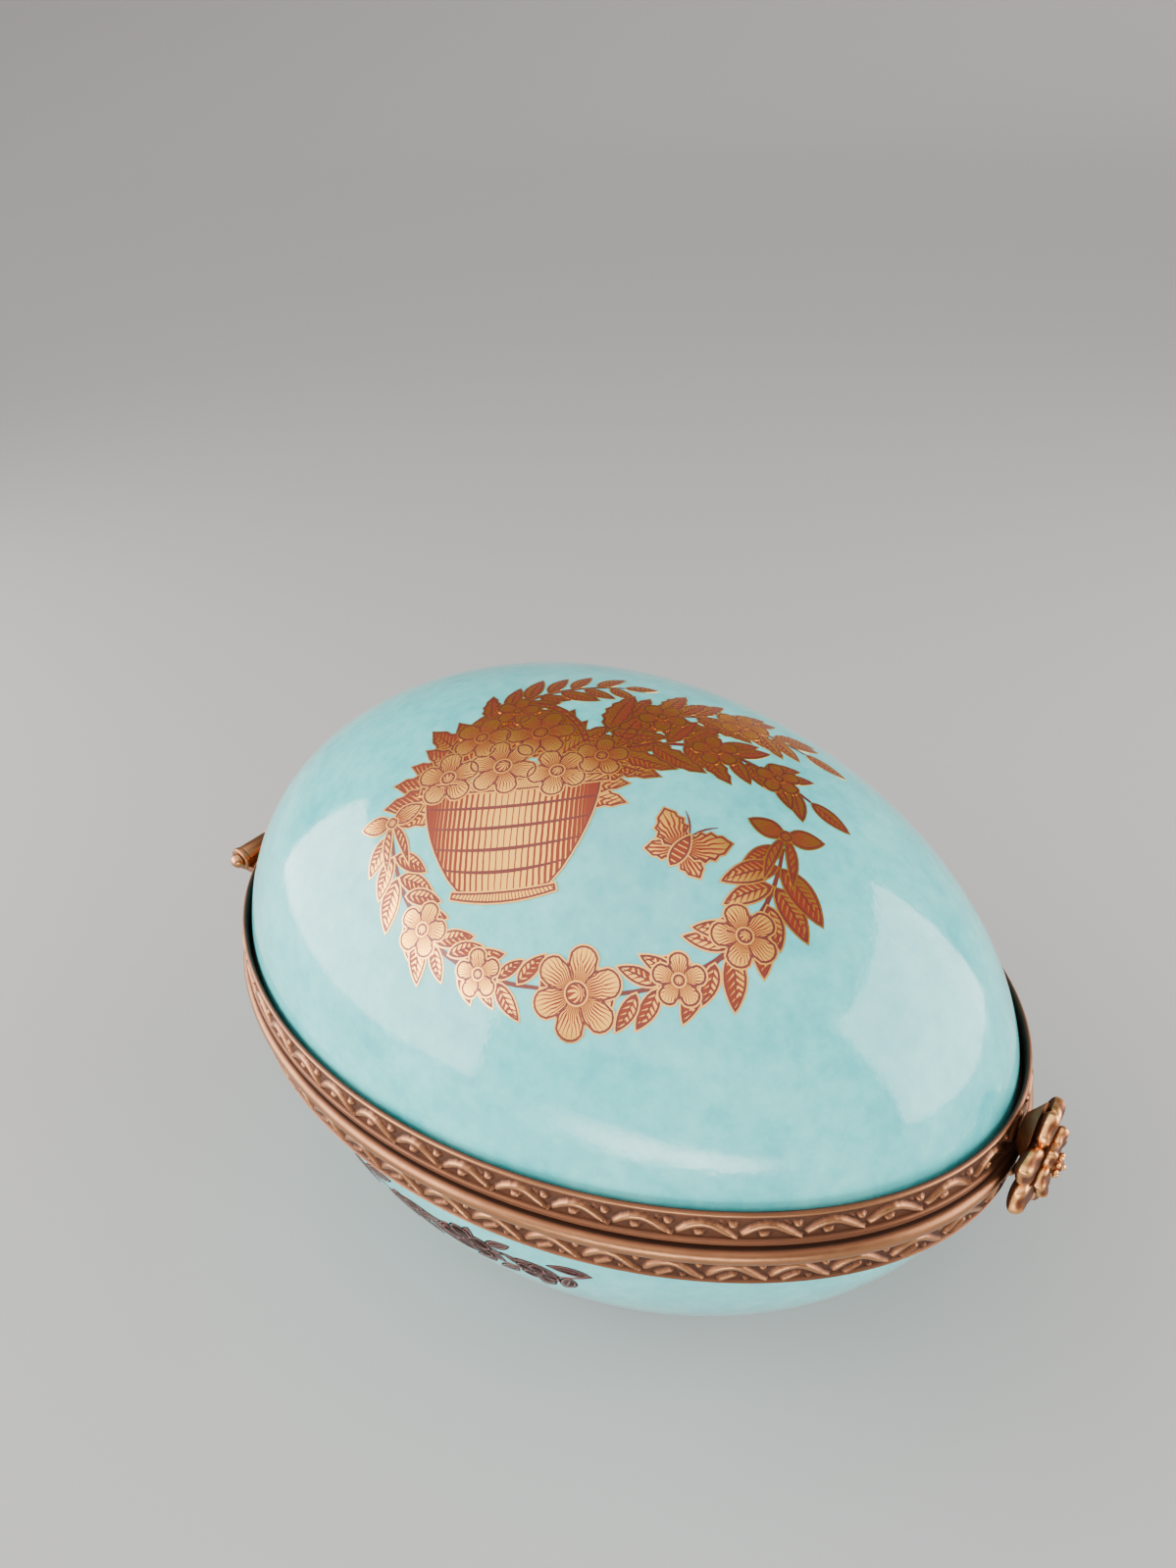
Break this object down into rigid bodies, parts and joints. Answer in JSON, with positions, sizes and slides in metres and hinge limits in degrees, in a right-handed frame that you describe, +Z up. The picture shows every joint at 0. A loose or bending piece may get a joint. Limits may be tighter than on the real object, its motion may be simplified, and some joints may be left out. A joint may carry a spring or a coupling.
{
  "type": "egg trinket box",
  "caption": "Hinged porcelain egg box lying on its side, with brass rims, a pinned hinge and a cast blossom clasp.",
  "frame": {"origin": "on the flat spot under the bowl, below the widest part of the egg", "axes": "+X along the egg from the hinge to the blossom clasp, +Z up out of the lid"},
  "size_m": [0.0636, 0.0426, 0.043],
  "materials": {
    "glaze": "glossy turquoise glaze with fired gilt and maroon decoration, white inside",
    "old_brass": "aged copper-toned gilt brass, dark in the recesses",
    "gilt_brass": "brighter cast gilt brass"
  },
  "bodies": {
    "base": {"base_porcelain": "glaze", "base_rim": "old_brass", "hinge_leaf_base": "old_brass", "hinge_pin": "old_brass"},
    "lid": {"lid_porcelain": "glaze", "lid_rim": "old_brass", "hinge_leaf_lid": "old_brass", "clasp_blossom": "gilt_brass"}
  },
  "joints": [
    {"name": "lid_hinge", "type": "hinge", "parent": "base", "child": "lid", "pos_m": [-0.03059, 0, 0.02358], "axis": [0, -1, 0], "range_deg": [0, 100]}
  ]
}
